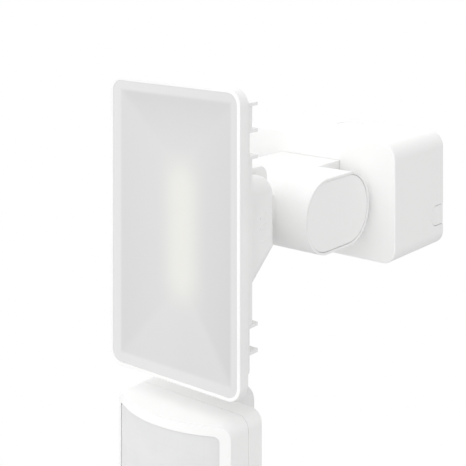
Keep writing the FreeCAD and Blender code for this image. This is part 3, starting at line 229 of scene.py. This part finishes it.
def led_phosphor(name):
    s = Shader(name)
    speck = s.noise(5200, detail=3)
    s.set(Base_Color=s.mix(s.spread(speck, 0.3, 0.7), (0.85, 0.62, 0.16), (0.95, 0.78, 0.30)))
    s.set(Roughness=s.spread(speck, 0.3, 0.7, 0.25, 0.4), Normal=s.bump(speck, 0.00002))
    s.set(Emission_Color=(1.0, 0.86, 0.62, 1.0), Emission_Strength=0.6)
    return s.material


class SeenThrough:
    """Coordinates of what lies behind a sheet that faces -Y, as the viewer sees it through the sheet."""

    def __init__(self, shader):
        self.shader = shader
        geometry = shader.add("ShaderNodeNewGeometry")
        turn = shader.add("ShaderNodeVectorTransform", vector_type="VECTOR", convert_from="WORLD",
                          convert_to="OBJECT")
        shader.links.new(geometry.outputs["Incoming"], turn.inputs[0])
        split = shader.add("ShaderNodeSeparateXYZ")
        shader.links.new(turn.outputs[0], split.inputs[0])
        grazing_limit = 0.35
        facing = shader.math("MAXIMUM", shader.math("ABSOLUTE", split.outputs["Y"]), grazing_limit)
        self.lean = {letter: shader.math("DIVIDE", split.outputs[letter], facing) for letter in "XZ"}

    def at(self, letter, depth, middle):
        """The distance along one axis from middle, at this depth behind the sheet."""
        shift = self.shader.math("MULTIPLY", self.lean[letter], depth)
        place = self.shader.math("SUBTRACT", self.shader.axis(letter), shift)
        return self.shader.math("SUBTRACT", place, middle)


def paint_slope_shade(s, behind, deep, shallow):
    """Painted shade of the tray's four slopes: each slope is painted its own tone for how light falls on
    it, and lighter towards the lit bar in the middle.
    """
    tray_low, tray_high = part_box("reflector")
    bar_low, bar_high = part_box("led_board")
    middle_z = (tray_low.z + tray_high.z) / 2
    bar_half, bar_half_height = (bar_high.x - bar_low.x) / 2, (bar_high.z - bar_low.z) / 2
    tray_half, tray_half_height = (tray_high.x - tray_low.x) / 2, (tray_high.z - tray_low.z) / 2

    def slopes_at(depth):
        """How far out a point is on the side slopes and on the end slopes: 0 at the bar, 1 at the rim."""
        across = s.math("ABSOLUTE", behind.at("X", depth, 0.0))
        along = s.math("ABSOLUTE", behind.at("Z", depth, middle_z))
        side = s.math("DIVIDE", s.math("SUBTRACT", across, bar_half), tray_half - bar_half)
        end = s.math("DIVIDE", s.math("SUBTRACT", along, bar_half_height),
                     tray_half_height - bar_half_height)
        return side, end

    first_side, first_end = slopes_at((shallow + deep) / 2)
    outward = s.math("MAXIMUM", first_side, first_end)
    depth = s.spread(outward, 0.0, 1.0, deep, shallow)
    side, end = slopes_at(depth)

    ridge_blur, level_blur, centre_blur = 0.11, 0.010, 0.012
    on_end = s.spread(s.math("SUBTRACT", end, side), -ridge_blur, ridge_blur, smooth=True)
    upper = s.spread(behind.at("Z", depth, middle_z), -level_blur, level_blur, smooth=True)
    right = s.spread(behind.at("X", depth, 0.0), -centre_blur, centre_blur, smooth=True)
    climb = s.spread(behind.at("Z", depth, 0.0), tray_low.z, tray_high.z)
    light_reach, light_share = 0.9, 0.45
    # Painted light from the bar: 1 beside the bar, falling to 0 towards the rim.
    painted_bar_light = s.spread(s.math("MAXIMUM", side, end), 0.0, light_reach, 1.0, 0.0)

    # Painted shade: the side slopes lighter towards the top, the right-hand slope darker than the left,
    # the upper slope lighter near the bar, the lower slope a little darker on the right.
    left_slope = s.mix(climb, grey(0.823), grey(0.840))
    right_slope = s.mix(climb, grey(0.804), grey(0.828))
    upper_slope = s.mix(painted_bar_light, grey(0.816), grey(0.836))
    lower_slope = s.mix(right, grey(0.840), grey(0.833))
    sides = s.mix(right, left_slope, right_slope)
    ends = s.mix(upper, lower_slope, upper_slope)
    slopes = s.mix(on_end, sides, ends)
    # Painted light: the slopes are lifted towards a light grey beside the bar.
    return s.mix(s.math("MULTIPLY", painted_bar_light, light_share), slopes, grey(0.864))


def tray_rim(s, behind):
    """How much of the tray's flat rim shows, as the mask for its painted shade: 1 along the sheet's
    border and 0 inside it.
    """
    low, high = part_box("reflector")
    rim_depth = 0.0018
    from_middle = {
        "X": (0.0, (high.x - low.x) / 2, 0.0038, 0.0002),
        "Z": ((low.z + high.z) / 2, (high.z - low.z) / 2, 0.0042, 0.0004),
    }
    shares = []
    for letter, (middle, half, rim_width, border) in from_middle.items():
        distance = s.math("ABSOLUTE", behind.at(letter, rim_depth, middle))
        shares.append(s.spread(distance, half - rim_width, half - border, smooth=True))
    return s.math("MAXIMUM", *shares)


def bar_glow(s, behind, depth):
    """The mask of a painted glow of the lit bar on the diffuser: 1 over its middle, and fading out across
    and along it.
    """
    half_width, full_half_height, half_height = 0.030, 0.036, 0.074
    across = s.math("ABSOLUTE", behind.at("X", depth, 0.0))
    along = s.math("ABSOLUTE", behind.at("Z", depth, 0.0))
    fade_across = s.spread(across, 0.0, half_width, 1.0, 0.0, smooth=True)
    fade_along = s.spread(along, full_half_height, half_height, 1.0, 0.0, smooth=True)
    return s.math("MULTIPLY", fade_across, fade_along)


def frosted_diffuser(name):
    """A frosted sheet with painted light in its colour: the shade of the tray's four slopes and rim and
    the glow of the lit bar behind it are painted on, blurred, and shift with the view as if seen through.
    """
    s = Shader(name)
    behind = SeenThrough(s)
    shallow, deep = 0.0030, 0.0115
    low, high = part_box("reflector")
    # Painted shade of the tray's slopes, as if seen through the sheet.
    slopes = paint_slope_shade(s, behind, deep, shallow)
    # Painted shade: the tray's rim along the border, painted lighter on the left side and darker on the
    # right.
    painted_rim_shade = s.mix(s.spread(s.axis("X"), low.x, high.x), grey(0.876), grey(0.860))
    tone = s.mix(tray_rim(s, behind), slopes, painted_rim_shade)
    # Painted glow of the bar: the colour is lifted to a warm light grey over the bar's middle.
    tone = s.mix(bar_glow(s, behind, deep), tone, grey(0.897, warmth=0.030))
    grain = s.noise(1500, detail=2, roughness=0.6)
    tone = s.mix(s.spread(grain, 0.3, 0.7, 0.0, 0.035), tone, grey(0.745))

    frost = s.noise(3600, detail=3, roughness=0.65)
    s.set(Base_Color=tone, Roughness=s.spread(frost, 0.3, 0.7, 0.46, 0.58), IOR=1.45)
    s.set(Specular_IOR_Level=0.25)
    s.set(Normal=s.bump(frost, 0.00002))
    return s.material


def faceted_window(name):
    """A milky sensor lens: rows of stepped facets moulded into its inner face show faintly through."""
    s = Shader(name)
    rows_per_metre, columns_per_metre, grooves_per_metre = 60.0, 46.0, 900.0
    row_bow = 1.6
    window_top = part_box("sensor_window")[1].z
    rise = s.math("SUBTRACT", window_top, s.axis("Z"))
    bow = s.math("POWER", s.math("ABSOLUTE", s.axis("X")), 2.0)
    curved = s.math("SUBTRACT", rise, s.math("MULTIPLY", bow, row_bow))
    rows = s.math("PINGPONG", s.math("MULTIPLY", curved, rows_per_metre), 0.5)
    columns = s.math("PINGPONG", s.math("MULTIPLY", s.axis("X"), columns_per_metre), 0.5)
    row_edge = s.spread(rows, 0.0, 0.035, 1.0, 0.0, smooth=True)
    column_edge = s.spread(columns, 0.0, 0.025, 1.0, 0.0, smooth=True)
    seam = s.math("MAXIMUM", row_edge, column_edge)
    grooves = s.math("PINGPONG", s.math("MULTIPLY", curved, grooves_per_metre), 0.5)
    milk = s.noise(30, detail=3)
    tone = s.mix(s.spread(milk, 0.3, 0.7), (0.73, 0.73, 0.735), (0.77, 0.77, 0.77))
    tone = s.mix(s.math("MULTIPLY", seam, 0.10), tone, (0.66, 0.66, 0.665))
    speck = s.noise(2600, detail=2)
    s.set(Base_Color=tone, Roughness=s.spread(speck, 0.3, 0.7, 0.36, 0.48), IOR=1.45)
    s.set(Subsurface_Weight=0.15, Subsurface_Radius=(0.004, 0.004, 0.004), Specular_IOR_Level=0.4)
    seam_normal = s.bump(seam, 0.00002, over=s.bump(grooves, 0.00001))
    s.set(Normal=s.bump(speck, 0.00001, over=seam_normal))
    return s.material


WHITE = (0.94, 0.94, 0.935)
MATERIALS = {
    "white_plastic": moulded_plastic("white_plastic", WHITE),
    "white_metal": powder_coat("white_metal", WHITE),
    "steel": brushed_metal("zinc_steel", (0.62, 0.62, 0.61)),
    "zinc_plate": brushed_metal("zinc_sheet", (0.68, 0.69, 0.70), 0.38, (1, 1, 20)),
    "foam_rubber": rubber("foam_rubber", (0.06, 0.06, 0.06), 0.85),
    "seal_rubber": rubber("seal_rubber", (0.78, 0.78, 0.78)),
    "black_nylon": moulded_plastic("black_nylon", (0.035, 0.035, 0.037), 0.5),
    "grey_plastic": moulded_plastic("grey_plastic", (0.42, 0.43, 0.44), 0.5),
    "cable_sheath": rubber("cable_sheath", (0.78, 0.78, 0.77), 0.55),
    "frosted_diffuser": frosted_diffuser("frosted_diffuser"),
    "reflector_white": moulded_plastic("reflector_white", (0.92, 0.92, 0.92), 0.3),
    "board_white": circuit_board("board_white", (0.86, 0.86, 0.84), (0.78, 0.78, 0.76)),
    "led_phosphor": led_phosphor("led_phosphor"),
    "board_green": circuit_board("board_green", (0.03, 0.17, 0.08), (0.05, 0.26, 0.12)),
    "black_plastic": moulded_plastic("black_plastic", (0.022, 0.022, 0.024), 0.42),
    "sensor_window": faceted_window("sensor_window"),
    "dark_glass": lens_glass("dark_glass", (0.34, 0.34, 0.36), transmission=0.95),
    "lens_glass": lens_glass("lens_glass", (0.08, 0.09, 0.16), transmission=0.3),
    "clear_plastic": lens_glass("clear_plastic", (0.86, 0.88, 0.90), roughness=0.2, transmission=0.2),
}


SHARP_EDGE = math.radians(28)


def dress_cad_nodes():
    """Give every CAD node the material of its slot, and smooth shading that keeps real edges."""
    for entry in frame["record"]["subparts"]:
        piece = NODES[entry["node"]]
        piece.data.materials.clear()
        piece.data.materials.append(MATERIALS[entry["material_slot"]])
        piece.data.shade_smooth()
        piece.data.set_sharp_from_angle(angle=SHARP_EDGE)


dress_cad_nodes()


# ---------------------------------------------------------------- studio
def make_floor(shade, seen):
    """A large pale floor. It reflects the tone shade on the object, and the camera sees the tone seen."""
    s = Shader("studio_floor")
    cloud = s.noise(3, detail=3)
    s.set(Base_Color=s.mix(cloud, (shade,) * 3, (shade + 0.02,) * 3), Roughness=0.9)
    s.set(Normal=s.bump(s.noise(240, detail=3), 0.0002))
    lit_sheet = s.add("ShaderNodeEmission")
    lit_sheet.inputs["Strength"].default_value = seen
    path = s.add("ShaderNodeLightPath")
    blend = s.add("ShaderNodeMixShader")
    s.links.new(path.outputs["Is Camera Ray"], blend.inputs[0])
    s.links.new(s.surface.outputs[0], blend.inputs[1])
    s.links.new(lit_sheet.outputs[0], blend.inputs[2])
    s.links.new(blend.outputs[0], s.output.inputs["Surface"])

    mesh = bpy.data.meshes.new("floor")
    half_size = 30.0
    drop = 0.18
    level = CAD_BOUNDS[0].z - drop
    corners = [(x * half_size, y * half_size, level) for x, y in ((-1, -1), (1, -1), (1, 1), (-1, 1))]
    mesh.from_pydata(corners, [], [(0, 1, 2, 3)])
    mesh.materials.append(s.material)
    floor = bpy.data.objects.new("floor", mesh)
    bpy.context.scene.collection.objects.link(floor)


def make_light(name, place, target, size, power):
    """A square soft box at place that faces target."""
    data = bpy.data.lights.new(name, "AREA")
    data.size = size
    data.energy = power
    lamp = bpy.data.objects.new(name, data)
    lamp.location = place
    direction = Vector(target) - Vector(place)
    lamp.rotation_euler = direction.to_track_quat("-Z", "Y").to_euler()
    bpy.context.scene.collection.objects.link(lamp)


def make_world(light, lean, seen):
    """A soft white surround whose strength on the object grows from light towards the direction lean.

    The camera sees it at the strength seen.
    """
    world = bpy.data.worlds.new("surround")
    world.use_nodes = True
    nodes, links = world.node_tree.nodes, world.node_tree.links
    lit = nodes["Background"]
    lit.inputs["Color"].default_value = (1, 1, 1, 1)
    direction = nodes.new("ShaderNodeTexCoord").outputs["Generated"]
    towards = nodes.new("ShaderNodeVectorMath")
    towards.operation = "DOT_PRODUCT"
    towards.inputs[1].default_value = lean
    links.new(direction, towards.inputs[0])
    strength = nodes.new("ShaderNodeMath")
    strength.operation = "ADD"
    strength.inputs[1].default_value = light
    links.new(towards.outputs["Value"], strength.inputs[0])
    links.new(strength.outputs[0], lit.inputs["Strength"])
    visible = nodes.new("ShaderNodeBackground")
    visible.inputs["Color"].default_value = (1, 1, 1, 1)
    visible.inputs["Strength"].default_value = seen
    path = nodes.new("ShaderNodeLightPath")
    mix = nodes.new("ShaderNodeMixShader")
    links.new(path.outputs["Is Camera Ray"], mix.inputs[0])
    links.new(lit.outputs[0], mix.inputs[1])
    links.new(visible.outputs[0], mix.inputs[2])
    links.new(mix.outputs[0], nodes["World Output"].inputs["Surface"])
    bpy.context.scene.world = world


def make_camera(place, turn, lens, shift):
    """A level camera whose picture is shifted down, so that upright edges stay upright.

    The shift holds only while the camera stands at its own place. A view from elsewhere, which is
    aimed at the object, gets none.
    """
    data = bpy.data.cameras.new("camera")
    data.sensor_width = 36.0
    data.lens = lens
    data.clip_start, data.clip_end = 0.02, 100.0
    camera = bpy.data.objects.new("camera", data)
    camera.location = place
    camera.rotation_euler = (math.radians(90), 0, math.radians(turn))
    bpy.context.scene.collection.objects.link(camera)
    bpy.context.scene.camera = camera

    anchor = bpy.data.objects.new("camera_anchor", None)
    anchor.location = place
    bpy.context.scene.collection.objects.link(anchor)
    fade = data.driver_add("shift_y")
    fade.driver.type = "AVERAGE"
    distance = fade.driver.variables.new()
    distance.type = "LOC_DIFF"
    distance.targets[0].id = camera
    distance.targets[1].id = anchor
    for modifier in list(fade.modifiers):
        fade.modifiers.remove(modifier)
    away = 0.05
    fade.keyframe_points.insert(0.0, shift)
    fade.keyframe_points.insert(away, 0.0)
    for key in fade.keyframe_points:
        key.interpolation = "LINEAR"
    fade.extrapolation = "CONSTANT"


make_floor(shade=0.60, seen=1.0)
make_world(light=1.01, lean=(-0.31, -0.18, 0.10), seen=1.0)
ARM_MIDDLE = (0.0, -0.2, 0.0)
make_light("key", (-1.0, -1.8, 1.5), ARM_MIDDLE, size=3.0, power=5)
make_light("fill", (0.9, -1.7, 0.3), ARM_MIDDLE, size=1.4, power=4)
make_camera((0.6330, -0.9961, 0.2562), turn=38.9, lens=87.335, shift=-0.65472)
bpy.context.scene.view_settings.view_transform = "Standard"
